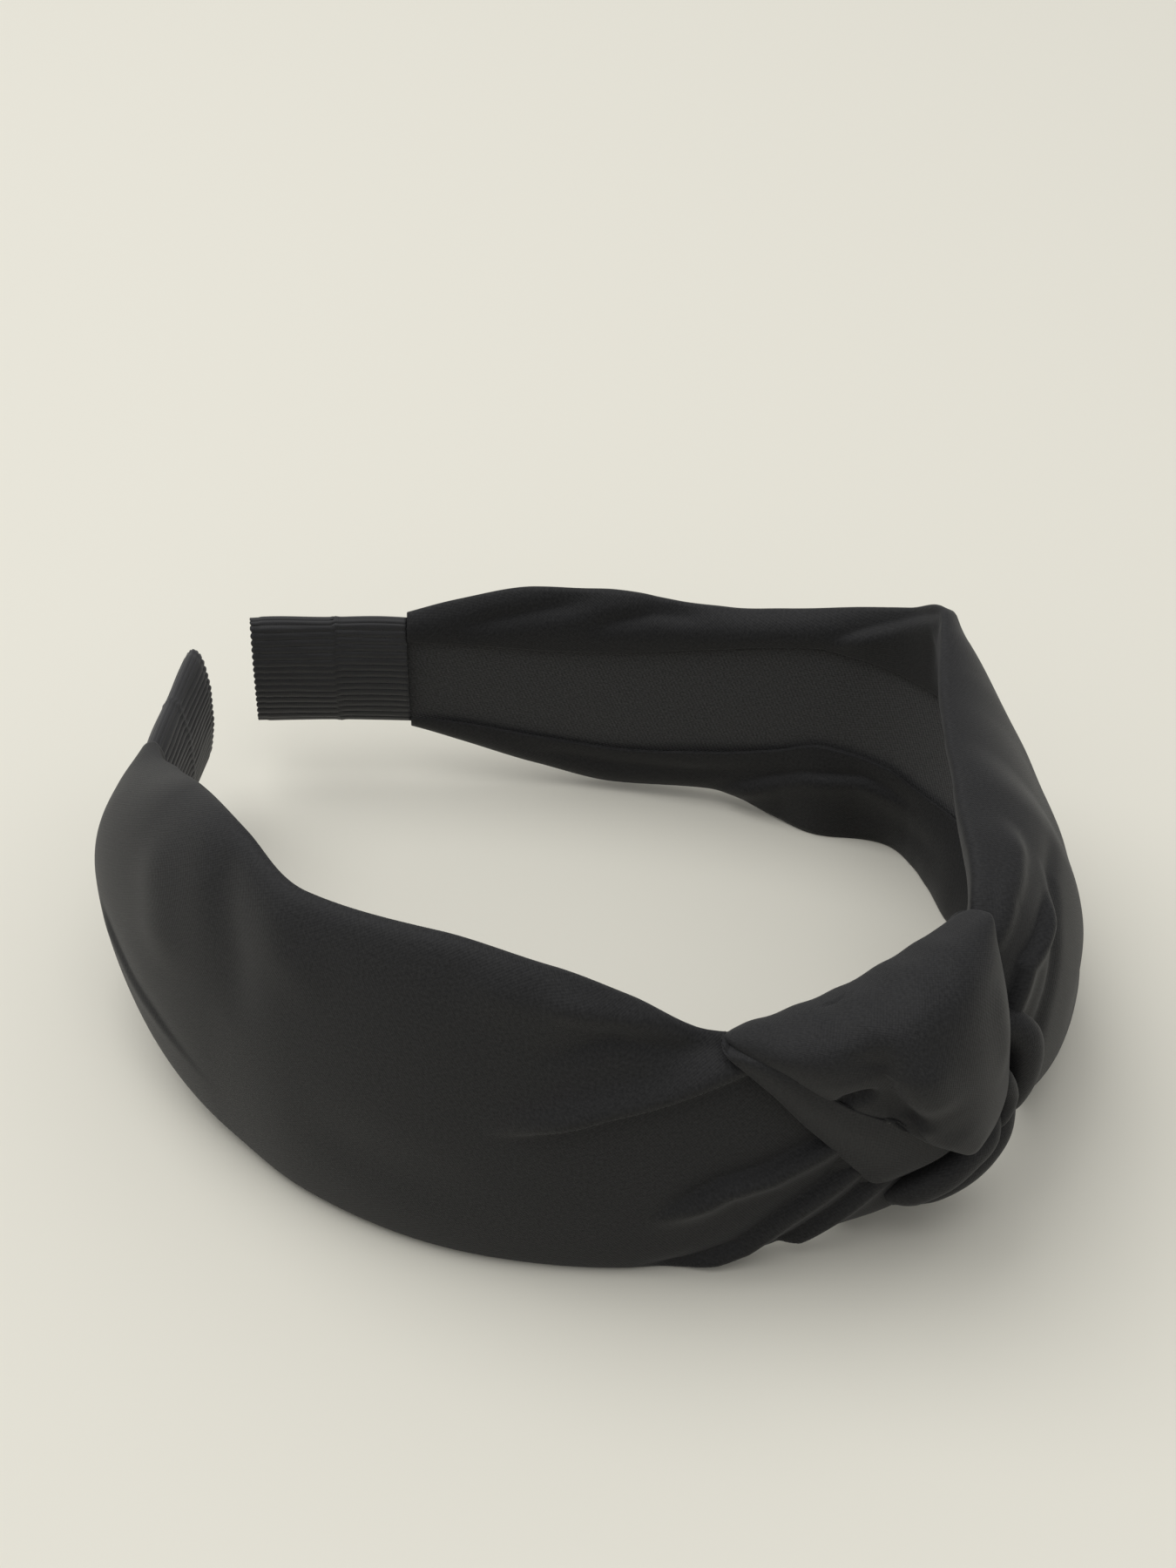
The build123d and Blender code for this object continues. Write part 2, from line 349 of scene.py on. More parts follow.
# Folds on the outer face, drawn towards the knot: path of (s, z), (height, width) on either hand, fades
KNOT_END = (0.35, 0.0)
OUTER_FOLDS = {
    LEFT: [
        ([(64, 39), (52, 43.0), (43.5, 40.5), (36, 42)], (1.0, 2.0), (1.0, 2.0), KNOT_END),
        ([(62, 49), (50, 45.5), (42.5, 43.2), (36, 43.6)], (-2.4, 1.6), (-2.4, 1.9), KNOT_END),
        ([(68, 26), (58.5, 29.1), (52, 31.6), (43.5, 34), (30, 38)], (0.3, 2.4), (-2.8, 3.2), KNOT_END),
        ([(48, 11.5), (38, 18.2), (32, 19.7), (24, 24)], (-2.4, 2.6), (0.6, 3.0), KNOT_END),
        ([(50, -1), (42, 1.4), (35, 4.8), (29.5, 10.8), (20, 19.5)], (-1.7, 2.0), (1.0, 2.4), (0.2, 0.0)),
        ([(30, 2.0), (25.5, 7), (22.5, 10), (17, 16)], (-1.5, 2.0), (0.9, 1.8), (0.1, 0.0)),
        ([(72, 50.5), (61, 48.6), (52, 46.5)], (-1.0, 4.0), (-1.0, 4.0)),
        ([(143, 23), (135, 20.6), (128.5, 18.6), (122.5, 17.5), (116, 15.3), (108, 12)],
         (-0.4, 3.0), (0.3, 3.0), (0.2, 0.5)),
        ([(116, 53), (109, 50), (104, 40), (104, 28)], (0.7, 4.0), (0.7, 4.0)),
        ([(127, 47), (121, 38), (118, 28)], (-0.6, 5.0), (-0.6, 5.0)),
        ([(100, 55), (96, 46), (88, 40)], (-0.5, 4.0), (-0.5, 4.0)),
        ([(96, 20), (80, 16), (64, 14)], (0.5, 6.0), (0.5, 6.0)),
    ],
    RIGHT: [
        ([(22, 47), (14, 46.5), (7.5, 45.5), (2, 42.5)], (-1.3, 1.3), (-1.0, 1.3), KNOT_END),
        ([(18, 41), (9.5, 38.8), (5.5, 37.6), (2, 32)], (-1.9, 2.4), (0.8, 1.6), KNOT_END),
        ([(32, 41), (20.5, 40.8), (14.5, 36), (9, 29), (5, 22)], (0.8, 1.6), (0.8, 1.6), KNOT_END),
        ([(50, 22), (30, 18), (14, 17)], (0.6, 4.0), (0.6, 4.0)),
        ([(70, 36), (50, 30), (30, 28)], (-0.6, 4.0), (-0.6, 4.0)),
        ([(150, 24), (130, 30), (100, 28)], (0.6, 5.0), (0.6, 5.0)),
    ],
}
# Folds on the hems, seen on the inner face
HEM_FOLDS = {
    LEFT: [
        ([(104, 45), (80, 44), (60, 42)], (0.8, 3.0), (0.8, 3.0)),
        ([(120, 8), (80, 7), (50, 6)], (0.7, 3.0), (0.7, 3.0)),
    ],
    RIGHT: [
        ([(158, 30.5), (144.5, 34.8), (130, 39.1)], (0.9, 1.7), (0.9, 1.7)),
        ([(136, 33), (123, 37.2), (111, 38)], (0.9, 1.6), (0.9, 1.6)),
        ([(95, 37.5), (91.5, 39.4), (83, 43.8), (73, 50.5)], (-1.1, 3.0), (0.4, 2.0), (0.3, 0.1)),
        ([(152, 10.5), (142, 7.5), (129.5, 6.5), (116, 7.2), (105, 9.6), (94, 13)], (0.9, 2.0), (0.9, 2.0)),
        ([(114, 3), (105.5, 7.0), (96, 11.5), (86, 13), (74, 11)], (-1.2, 2.6), (0.4, 1.5), (0.2, 0.3)),
        ([(96, 5), (84, 6), (72, 7), (62, 8)], (0.5, 2.6), (0.5, 2.6)),
    ],
}


def satin_leg(side):
    """The cover of one leg, from inside the knot to its ribbon."""
    stations = STATIONS[side]
    start, end = stations[0][0], stations[-1][0]
    lengths = start + (end - start) * np.linspace(0, 1, COLUMNS) ** CLOSER
    table = along(stations, lengths)
    points = np.empty((COLUMNS, ROWS, 3))
    s = np.repeat(lengths[:, None], ROWS, axis=1)
    for i, length in enumerate(lengths):
        outline = section(table[i])
        if length >= 0:
            point, normal = band(length, side)
        else:
            point, normal = band(-length, -side)
        points[i, :, :2] = point + outline[:, :1] * normal
        points[i, :, 2] = outline[:, 1]
    z = points[:, :, 2].copy()
    outward = normals(points) * (1 if side == LEFT else -1)
    row = np.arange(ROWS) / (ROWS - 1)
    outer = np.clip(np.minimum(row - SHARES[0], 1 - SHARES[3] - row) / OUTER_MARGIN, 0, 1)
    relief = np.zeros(s.shape)
    for drawn in OUTER_FOLDS[side]:
        relief += fold(s, z, *drawn) * outer
    for drawn in HEM_FOLDS[side]:
        relief += fold(s, z, *drawn) * (1 - outer)
    relief += unevenness(s, z, UNEVEN_HEIGHT, UNEVEN_LENGTH)
    ribbon_end = np.clip((end - s) / RIBBON_FADE, 0, 1)
    points += outward * (relief * ribbon_end)[:, :, None]
    points[:, :, 2] = np.maximum(points[:, :, 2], FLOOR_GAP)
    piece = grid_mesh(f"cover_{SIDE_NAME[side]}", points, cloth_uv(points))
    if side == RIGHT:
        piece.data.flip_normals()
    thicken(piece, COVER_THICKNESS)
    return piece


# ---------------------------------------------------------------- strips under the cover

# Length from the crown at which the strips of the two legs meet, on the left, inside the knot
SEAM = 14.0
# Lower and upper edge of the strips in the band: rows of (s, low, high)
LINING_EDGES = {
    LEFT: [(0, 13.2, 31), (60, 12.5, 32), (140, 12.5, 31.5), (160, 13.2, 30.8), (195, 13.2, 30.8)],
    RIGHT: [
        (-20, 13.2, 31), (20, 12, 33), (75, 12.5, 37), (94, 14, 38.5), (112, 11, 35), (130, 8.6, 31.5),
        (145, 8.8, 30.8), (156, 11.0, 30.6), (164, 12.6, 30.6), (200, 12.6, 30.6),
    ],
}
CORE_EDGES = [(-20, 13.5, 30.5), (158, 13.5, 30.5), (168, 15.5, 28.0), (200, 15.5, 28.0)]
PADDING_EDGES = [(-20, 14.5, 26), (200, 14.5, 26)]
# Outer face of each strip, and how far before the tip it ends
LINING_N, LINING_END = -0.05, 1.2
CORE_N, CORE_END = 1.6, 1.4
PADDING_N, PADDING_END = 3.2, 62.0
STRIP_STEPS = 110
STRIP_COLUMNS = 9


def strip(name, side, n, edges, thickness, end):
    """A flat strip of the band, from inside the knot towards a tip; edges are rows of (s, low, high)."""
    start = -SEAM if side == RIGHT else SEAM
    lengths = np.linspace(start, LENGTH[side] - end, STRIP_STEPS)
    heights = along(edges, lengths)
    shares = np.linspace(0, 1, STRIP_COLUMNS)
    points = np.array([
        [place(side * s, n, low + (high - low) * share) for share in shares]
        for s, (low, high) in zip(lengths, heights)
    ])
    piece = grid_mesh(name, points, cloth_uv(points))
    if side == LEFT:
        piece.data.flip_normals()
    thicken(piece, thickness)
    return piece


# ---------------------------------------------------------------- ribbon sleeves

RIBBON_EDGES = {LEFT: (9.9, 32.3), RIGHT: (10.9, 32.3)}
RIBBON_INNER, RIBBON_OUTER = -1.5, 2.3
RIBBON_MIDDLE = (RIBBON_OUTER + RIBBON_INNER) / 2
RIBBON_RADIUS = (RIBBON_OUTER - RIBBON_INNER) / 2
RIBBON_PAST_TIP = 0.2
RIB_PITCH = 1.25
RIB_HEIGHT = 0.24
# Flatness of the folded edges, their thickness as a share of the middle's, how far in they reach, and
# the power by which the sleeve thickens over that reach
EDGE_FLATNESS = 0.55
EDGE_SHARE = 0.22
EDGE_REACH = 7.0
EDGE_POWER = 0.6
# Overlap seam across the sleeve: where it is, as a share of its length, its height, width and rib shift
SEAM_AT, SEAM_HEIGHT, SEAM_WIDTH, SEAM_SHIFT = 0.46, 0.16, 0.02, 0.35
# Rows along the sleeve and points round it, and its length beyond the ribbon's width
SLEEVE_GRID = (60, 300)
RIBBON_EXTRA = 0.6
# Flat selvedge at the tip, its teeth, and the slow waves of the whole sleeve
SELVEDGE_AT, SELVEDGE_DEPTH, TOOTH, WANDER = 0.93, 0.12, 0.16, 0.12


def sleeve_outline(side, steps):
    """(n, z) round a flat sleeve, its two long sides joined by half rounds."""
    radius = RIBBON_RADIUS
    low, high = RIBBON_EDGES[side]
    low, high = low + radius, high - radius
    straight, turn = high - low, pi * radius
    total = 2 * straight + 2 * turn
    result = []
    for walked in np.linspace(0, total, steps, endpoint=False):
        if walked < straight:
            result.append((RIBBON_INNER, low + walked))
        elif walked < straight + turn:
            angle = (walked - straight) / radius
            edge = high + EDGE_FLATNESS * radius * sin(angle)
            result.append((RIBBON_MIDDLE - radius * cos(angle), edge))
        elif walked < 2 * straight + turn:
            result.append((RIBBON_OUTER, high - (walked - straight - turn)))
        else:
            angle = (walked - 2 * straight - turn) / radius
            edge = low - EDGE_FLATNESS * radius * sin(angle)
            result.append((RIBBON_MIDDLE + radius * cos(angle), edge))
    return np.array(result)


def pinched(outline):
    """The sleeve's outline with its two folded edges pressed thin."""
    n, z = outline[:, 0], outline[:, 1]
    from_edge = np.minimum(z - z.min(), z.max() - z)
    share = EDGE_SHARE + (1 - EDGE_SHARE) * np.clip(from_edge / EDGE_REACH, 0, 1) ** EDGE_POWER
    return np.stack([RIBBON_MIDDLE + (n - RIBBON_MIDDLE) * share, z], axis=1)


def ribbon_sleeve(side):
    """Grosgrain wrapped round one tip, with its ribs along the band and its selvedge at the tip."""
    columns, around = SLEEVE_GRID
    outline = sleeve_outline(side, around)
    centre = outline.mean(axis=0)
    away = outline - centre
    away /= np.linalg.norm(away, axis=1, keepdims=True)
    away[np.abs(outline[:, 0] - RIBBON_INNER) < 0.01] = (-1, 0)
    away[np.abs(outline[:, 0] - RIBBON_OUTER) < 0.01] = (1, 0)
    end = LENGTH[side] + RIBBON_PAST_TIP
    start = end - RIBBON - RIBBON_EXTRA
    lengths = np.linspace(start, end, columns)
    walked = np.arange(around) * np.linalg.norm(outline[1] - outline[0])
    outline = pinched(outline)
    points = np.empty((columns, around, 3))
    for i, s in enumerate(lengths):
        share = (s - start) / (end - start)
        shift = SEAM_SHIFT if share > SEAM_AT else 0.0
        ribs = RIB_HEIGHT * np.abs(np.sin(pi * (walked / RIB_PITCH + shift)))
        step = SEAM_HEIGHT * np.exp(-(((share - SEAM_AT) / SEAM_WIDTH) ** 2))
        margin = SELVEDGE_DEPTH * np.clip((share - SELVEDGE_AT) / SEAM_WIDTH, 0, 1)
        wander = WANDER * sin(9 * share) * np.sin(outline[:, 1] / 4)
        height = ribs + step - margin + wander
        ring = outline + away * height[:, None]
        for j in range(around):
            tooth = TOOTH * sin(2 * pi * walked[j] / RIB_PITCH) * (i == columns - 1)
            points[i, j] = place(side * (s + tooth), *ring[j])
    points = np.concatenate([points, points[:, :1]], axis=1)
    piece = grid_mesh(f"grosgrain_{SIDE_NAME[side]}", points, cloth_uv(points))
    if side == LEFT:
        piece.data.flip_normals()
    merge(piece)
    thicken(piece, RIBBON_THICKNESS)
    return piece


def merge(piece):
    """Joins the vertices where a closed outline meets itself."""
    modifier = piece.modifiers.new("merge", "WELD")
    modifier.merge_threshold = 0.01 * MM
    apply(piece)


# ---------------------------------------------------------------- knot

def widened(rows, left, right):
    """Each row of a control grid with its two ends turned under; left and right give each row's step."""
    result = []
    for row, to_left, to_right in zip(rows, left, right):
        row = [np.array(point, float) for point in row]
        result.append([row[0] + to_left, *row, row[-1] + to_right])
    return np.array(result)


# Wrap of the knot: rows of (s, n, z) from under the band, up its inner face, over and down the front
WRAP = [
    [(-20, 1.5, 3.4), (-17, 1.5, 3.4), (-14, 1.5, 3.4), (-11, 1.5, 3.4), (-7, 1.5, 3.4)],
    [(-22, -1.6, 2.8), (-18, -1.8, 2.6), (-14, -1.8, 2.6), (-9, -1.8, 2.6), (-5.5, -1.6, 2.8)],
    [(-24, -2.6, 8.0), (-19, -2.8, 8.0), (-14, -2.8, 8.0), (-9, -2.8, 8.0), (-5.0, -2.6, 8.0)],
    [(-27, -2.8, 22.0), (-21, -3.1, 22.0), (-15, -3.1, 22.0), (-9, -3.1, 22.0), (-3.5, -2.8, 22.0)],
    [(-33, -2.2, 36.0), (-26, -3.0, 38.0), (-18, -3.2, 40.0), (-9, -3.2, 42.0), (-1.0, -2.8, 43.4)],
    [(-37.6, 3.0, 41.7), (-30.5, 3.4, 43.7), (-21.0, 3.6, 46.2), (-10.0, 3.4, 49.0), (-0.4, 3.0, 49.4)],
    [(-35.6, 6.8, 41.0), (-29.0, 10.6, 43.4), (-20.0, 12.0, 46.5), (-11.0, 11.6, 48.4), (-2.0, 6.8, 47.0)],
    [(-31.2, 8.0, 37.8), (-26.4, 13.0, 39.4), (-19.0, 16.5, 41.0), (-11.0, 15.5, 40.0), (-1.6, 9.4, 37.2)],
    [(-26.4, 9.6, 32.8), (-21.8, 14.0, 34.4), (-15.5, 17.0, 33.5), (-9.5, 16.0, 31.5), (-1.7, 10.6, 29.0)],
    [(-21.2, 11.8, 29.6), (-17.0, 15.5, 28.8), (-12.5, 16.5, 26.6), (-8.0, 15.2, 24.4), (-2.6, 11.5, 23.4)],
    [(-16.6, 13.4, 26.6), (-12.9, 15.0, 23.6), (-10.0, 15.0, 20.6), (-7.6, 13.4, 18.8), (-4.4, 11.0, 18.8)],
    [(-14.8, 10.0, 26.6), (-11.7, 10.8, 24.0), (-10.0, 10.8, 21.6), (-8.6, 10.0, 20.4), (-6.4, 9.0, 20.4)],
]
WRAP_GRID = (241, 121)
# Steps by which each row's two ends are turned under
WRAP_LEFT = [(1, 0.3, 0)] * 5 + [(2.0, 0.2, -2.0), (2.4, -1.8, -1.6)] + [(2.6, -2.4, -0.6)] * 5
WRAP_RIGHT = [(-1, 0.3, 0)] * 5 + [(-1.6, 0.2, -2.6), (-1.6, -2.4, -1.6)] + [(-1.6, -3.4, 0.0)] * 5
# Dents and creases of the wrap's face, which is all that lies further out than this
FRONT_N = 3.5
WRAP_FOLDS = [
    ([(-22.3, 47), (-22.1, 44.4), (-22.2, 40.4), (-21.0, 35.4), (-18.5, 31.0)],
     (-2.8, 1.5), (-2.8, 3.0), (0.3, 0.0)),
    ([(-18.2, 44), (-17.2, 38), (-15.8, 32)], (0.8, 2.4), (0.8, 2.4)),
    ([(-25.2, 32.6), (-24.4, 35.4), (-22.0, 34.0)], (-2.0, 0.9), (-2.0, 0.9)),
    ([(-15, 29), (-11, 24), (-8, 20)], (0.5, 2.4), (0.5, 2.4)),
    ([(-5.5, 46), (-5.0, 38), (-5.0, 30)], (0.5, 2.0), (0.5, 2.0)),
]
# Scallops along the wrap's upper edge, which is this row: (s, height, width)
WRAP_CREST = 5
CREST_REACH = 0.8
CREST_SCALLOPS = [(-34, 0.6, 2.2), (-28, 0.6, 2.2), (-22, 0.5, 1.8), (-15.5, 0.8, 2.2), (-9.5, 0.5, 2.0)]


def knot_wrap():
    """The length of cover that is wrapped round the band and tucked under its own front."""
    coordinates = spline(widened(WRAP, WRAP_LEFT, WRAP_RIGHT), *WRAP_GRID)
    from_crest = np.linspace(0, len(WRAP) - 1, WRAP_GRID[0])[:, None] - WRAP_CREST
    for s, height, width in CREST_SCALLOPS:
        scallop = np.exp(-((coordinates[:, :, 0] - s) / width) ** 2)
        coordinates[:, :, 2] += height * scallop * np.exp(-(from_crest / CREST_REACH) ** 2)
    return folded_sheet("wrap", coordinates, WRAP_FOLDS, COVER_THICKNESS)


def folded_sheet(name, coordinates, folds, thickness):
    """A cloth from a fine grid of band coordinates, with folds drawn on its front."""
    points = placed(coordinates)
    s, z = coordinates[:, :, 0], coordinates[:, :, 2]
    relief = np.zeros(s.shape)
    for drawn in folds:
        relief += fold(s, z, *drawn)
    relief *= coordinates[:, :, 1] > FRONT_N
    points += normals(points) * relief[:, :, None]
    points[:, :, 2] = np.maximum(points[:, :, 2], FLOOR_GAP)
    piece = grid_mesh(name, points, cloth_uv(points))
    thicken(piece, thickness)
    return piece


FLAP_GRID = (161, 41)
# Flap under the wrap: pairs of outer edge and hidden inner edge, from its upper left to its lower right end
FLAP = [
    ((-38.4, 3.8, 41.4), (-33.0, 4.2, 41.8)),
    ((-38.0, 6.2, 40.8), (-31.5, 8.0, 41.0)),
    ((-35.2, 7.4, 38.0), (-28.8, 10.0, 38.8)),
    ((-31.8, 8.0, 33.8), (-25.4, 11.2, 34.6)),
    ((-28.4, 8.3, 28.6), (-21.2, 12.0, 31.0)),
    ((-25.0, 8.6, 23.6), (-17.2, 12.8, 28.4)),
    ((-21.8, 9.0, 18.6), (-13.4, 13.0, 25.4)),
    ((-19.2, 9.5, 15.4), (-11.4, 12.6, 22.6)),
    ((-14.4, 10.2, 16.4), (-9.3, 11.8, 20.8)),
    ((-8.0, 9.8, 17.6), (-6.8, 10.0, 20.0)),
]
# Share of the flap's width over which its outer edge is turned, and the steps (s, n, z) that raise its
# middle and set the upper and lower side of the turned edge
FLAP_TURN = 0.12
FLAP_RISE = np.array([0, 0.9, 0])
FLAP_OVER = np.array([0, 0.35, 0])
FLAP_UNDER = np.array([0, -1.4, 0])


def knot_flap():
    """The folded strip of cover that shows below the wrap."""
    rows = []
    for outer, inner in FLAP:
        outer, inner = np.array(outer, float), np.array(inner, float)
        turn = outer + (inner - outer) * FLAP_TURN
        middle = (outer + inner) / 2 + FLAP_RISE
        rows.append([turn + FLAP_UNDER, outer, turn + FLAP_OVER, middle, inner])
    return folded_sheet("wrap_flap", spline(rows, *FLAP_GRID), [], FLAP_THICKNESS)


# Length from the crown whose outward direction all the rolls share
ROLLS_FACE = 8.0
# Place opposite a roll's crease, and the crease's width, as shares of the way round it
OPPOSITE_CREASE = 0.2
CREASE_WIDTH = 0.05


def tube(name, path, radii, crease=0.0, flat=1.0, around=40, steps=90, turns=0.18):
    """A roll of cloth along a path of (s, n, z), its radii given along it, with a spiral crease."""
    centres = np.array([place(*p) for p in curve(path, steps)])
    share = np.linspace(0, 1, steps)
    size = np.interp(share, np.linspace(0, 1, len(radii)), radii)
    tangent = np.gradient(centres, axis=0)
    tangent /= np.linalg.norm(tangent, axis=1, keepdims=True)
    _, face = band(ROLLS_FACE, LEFT)
    out = np.array([face[0], face[1], 0.0])
    side_way = np.cross(tangent, out)
    side_way /= np.linalg.norm(side_way, axis=1, keepdims=True)
    up = np.cross(side_way, tangent)
    points = np.empty((steps, around + 1, 3))
    for j in range(around + 1):
        angle = 2 * pi * j / around
        from_crease = (j / around - OPPOSITE_CREASE - turns * share) % 1 - 0.5
        dent = 1 - crease * np.exp(-((from_crease / CREASE_WIDTH) ** 2))
        reach = (size * dent)[:, None]
        points[:, j] = centres + (side_way * cos(angle) + up * sin(angle) * flat) * reach
    points[:, :, 2] = np.maximum(points[:, :, 2], FLOOR_GAP)
    piece = grid_mesh(name, points, cloth_uv(points))
    merge(piece)
    return piece


def curve(path, steps):
    """A smooth curve through points."""
    points = np.array(path, float)
    doubled = np.stack([points, points], axis=1)
    return spline(doubled, steps, 2)[:, 0]


# Rolls under and beside the knot, and the gathered cloth that passes inside it
ROLLS = {
    "roll_outer": dict(
        path=[(1.2, 6.0, 24), (-0.4, 8.6, 18.6), (-1.8, 9.6, 14.8), (-4.4, 9.8, 12.2), (-7.6, 9.6, 10.6),
              (-11, 8.4, 9.0), (-15, 6.0, 8)],
        radii=[1.8, 2.5, 2.7, 2.7, 2.6, 2.4, 1.8], crease=0.12, flat=0.95,
    ),
    "roll_inner": dict(
        path=[(-3.0, 9.0, 21), (-5.0, 10.8, 17), (-8.0, 11.2, 15.4), (-11, 11.0, 13.6), (-14, 9.2, 11.0),
              (-16, 7, 9.5)],
        radii=[1.8, 2.5, 2.6, 2.6, 2.4, 1.6], crease=0.12, flat=0.95,
    ),
    "roll_lobe": dict(
        path=[(-3.4, 9, 28.5), (-2.4, 10.6, 25.7), (-1.4, 10.8, 21.5), (-2.4, 10.6, 18), (-4.0, 9.2, 16)],
        radii=[0.8, 1.4, 1.6, 1.4, 0.9],
    ),
    "side_loop": dict(
        path=[(-2, 5, 31.6), (1.2, 7.2, 30.6), (2.8, 8.8, 28.2), (3.1, 9.4, 25), (2.8, 9.2, 21),
              (2.2, 8.2, 17), (1.5, 6.2, 13)],
        radii=[1.8, 2.4, 2.7, 2.7, 2.6, 2.4, 1.8], crease=0.3, flat=0.95,
    ),
}
GATHER = dict(
    path=[(-26, 4.5, 22), (-18, 5.5, 20), (-10, 6.0, 20), (-3, 5.5, 22), (4, 4.5, 24)],
    radii=[4, 8, 9, 8, 4], crease=0.1, flat=0.45, turns=0.0,
)


# ---------------------------------------------------------------- materials

def material(name):
    """An empty node material, its tree and its shader."""
    made = bpy.data.materials.new(name)
    made.use_nodes = True
    return made, made.node_tree, made.node_tree.nodes["Principled BSDF"]


def node(tree, kind, **values):
    """A shader node with its sockets or settings set by name."""
    made = tree.nodes.new(kind)
    for key, value in values.items():
        if key in made.inputs:
            made.inputs[key].default_value = value
        else:
            setattr(made, key, value)
    return made


# Periods that a wave texture has in one unit at scale 1
WAVE_PERIODS = 20 / (2 * pi)


def weave_bump(tree, shader, across, down, strength, distance, twill=0.0):
    """A woven surface: two crossing sets of threads, in cloth coordinates, as a bump."""
    links = tree.links
    uv = node(tree, "ShaderNodeUVMap", uv_map="cloth")
    waves = []
    for pitch, direction in ((across, "X"), (down, "Y")):
        mapping = node(tree, "ShaderNodeMapping")
        mapping.inputs["Rotation"].default_value = (0, 0, twill)
        scale = 1 / (pitch * MM * WAVE_PERIODS)
        wave = node(tree, "ShaderNodeTexWave", bands_direction=direction, Scale=scale)
        links.new(uv.outputs["UV"], mapping.inputs["Vector"])
        links.new(mapping.outputs["Vector"], wave.inputs["Vector"])
        waves.append(wave)
    both = node(tree, "ShaderNodeMath", operation="ADD")
    links.new(waves[0].outputs["Fac"], both.inputs[0])
    links.new(waves[1].outputs["Fac"], both.inputs[1])
    bump = node(tree, "ShaderNodeBump", Strength=strength, Distance=distance * MM)
    links.new(both.outputs[0], bump.inputs["Height"])
    links.new(bump.outputs["Normal"], shader.inputs["Normal"])


def speckle(tree, shader, dark, light, **noise_values):
    """Fine speckles as base colour: dark and light are the (position, colour) ends of a ramp over noise."""
    uv = node(tree, "ShaderNodeUVMap", uv_map="cloth")
    noise = node(tree, "ShaderNodeTexNoise", **noise_values)
    ramp = node(tree, "ShaderNodeValToRGB")
    for stop, (position, colour) in zip(ramp.color_ramp.elements, (dark, light)):
        stop.position = position
        stop.color = (*colour, 1)
    tree.links.new(uv.outputs["UV"], noise.inputs["Vector"])
    tree.links.new(noise.outputs["Fac"], ramp.inputs["Fac"])
    tree.links.new(ramp.outputs["Color"], shader.inputs["Base Color"])


def satin_material():
    """Black matte satin: a fine weave with a soft, wide sheen."""
    made, tree, shader = material("satin")
    dark, light = (0.3, (0.0065, 0.0065, 0.007)), (0.7, (0.0175, 0.0175, 0.018))
    speckle(tree, shader, dark, light, Scale=2200.0, Detail=2.0, Roughness=0.6)
    shader.inputs["Roughness"].default_value = 0.62
    shader.inputs["Specular IOR Level"].default_value = 0.2
    shader.inputs["Sheen Weight"].default_value = 0.06
    shader.inputs["Sheen Roughness"].default_value = 0.5
    weave_bump(tree, shader, 0.36, 0.36, 0.4, 0.04, twill=radians(35))
    return made


def lining_material():
    """Black brushed knit; light speckles painted into its base colour stand in for its faint sparkle, as
    painted glints.
    """
    made, tree, shader = material("lining")
    # Speckles in the base colour: the knit's uneven tone, with the lightest specks as painted glints for
    # its sparkle
    dark, light = (0.35, (0.006, 0.006, 0.006)), (0.75, (0.045, 0.045, 0.045))
    speckle(tree, shader, dark, light, Scale=2600.0, Detail=3.0, Roughness=0.7)
    shader.inputs["Roughness"].default_value = 0.8
    shader.inputs["Specular IOR Level"].default_value = 0.3
    shader.inputs["Sheen Weight"].default_value = 0.3
    shader.inputs["Sheen Roughness"].default_value = 0.5
    weave_bump(tree, shader, 0.55, 0.34, 0.4, 0.06, twill=radians(24))
    return made


def ribbon_material():
    """Black grosgrain: fine cross threads over the ribs."""
    made, tree, shader = material("ribbon")
    shader.inputs["Base Color"].default_value = (0.013, 0.013, 0.014, 1)
    shader.inputs["Roughness"].default_value = 0.6
    shader.inputs["Specular IOR Level"].default_value = 0.4
    shader.inputs["Sheen Weight"].default_value = 0.15
    shader.inputs["Sheen Roughness"].default_value = 0.5
    weave_bump(tree, shader, 0.28, 0.6, 0.35, 0.05)
    return made


def plain_material(name, colour, roughness):
    """One even colour and roughness."""
    made, _, shader = material(name)
    shader.inputs["Base Color"].default_value = (*colour, 1)
    shader.inputs["Roughness"].default_value = roughness
    return made


# ---------------------------------------------------------------- stage

FLOOR_REACH = 6.0
LAMP_DISTANCE = 1.4
# Camera: direction in degrees, distance in metres, the point that it looks at, and its lens in mm
CAMERA_AZIMUTH, CAMERA_ELEVATION, CAMERA_DISTANCE = -52.0, 38.0, 0.4426
CAMERA_TARGET = np.array([18.05, 14.95, 20.0]) * MM
CAMERA_LENS, CAMERA_SENSOR = 64.0, 36.0


def towards(azimuth, elevation):
    """Unit vector from the object; azimuth 0 is in front of the crown, in degrees."""
    a, e = radians(azimuth), radians(elevation)
    return np.array([sin(a) * cos(e), -cos(a) * cos(e), sin(e)])


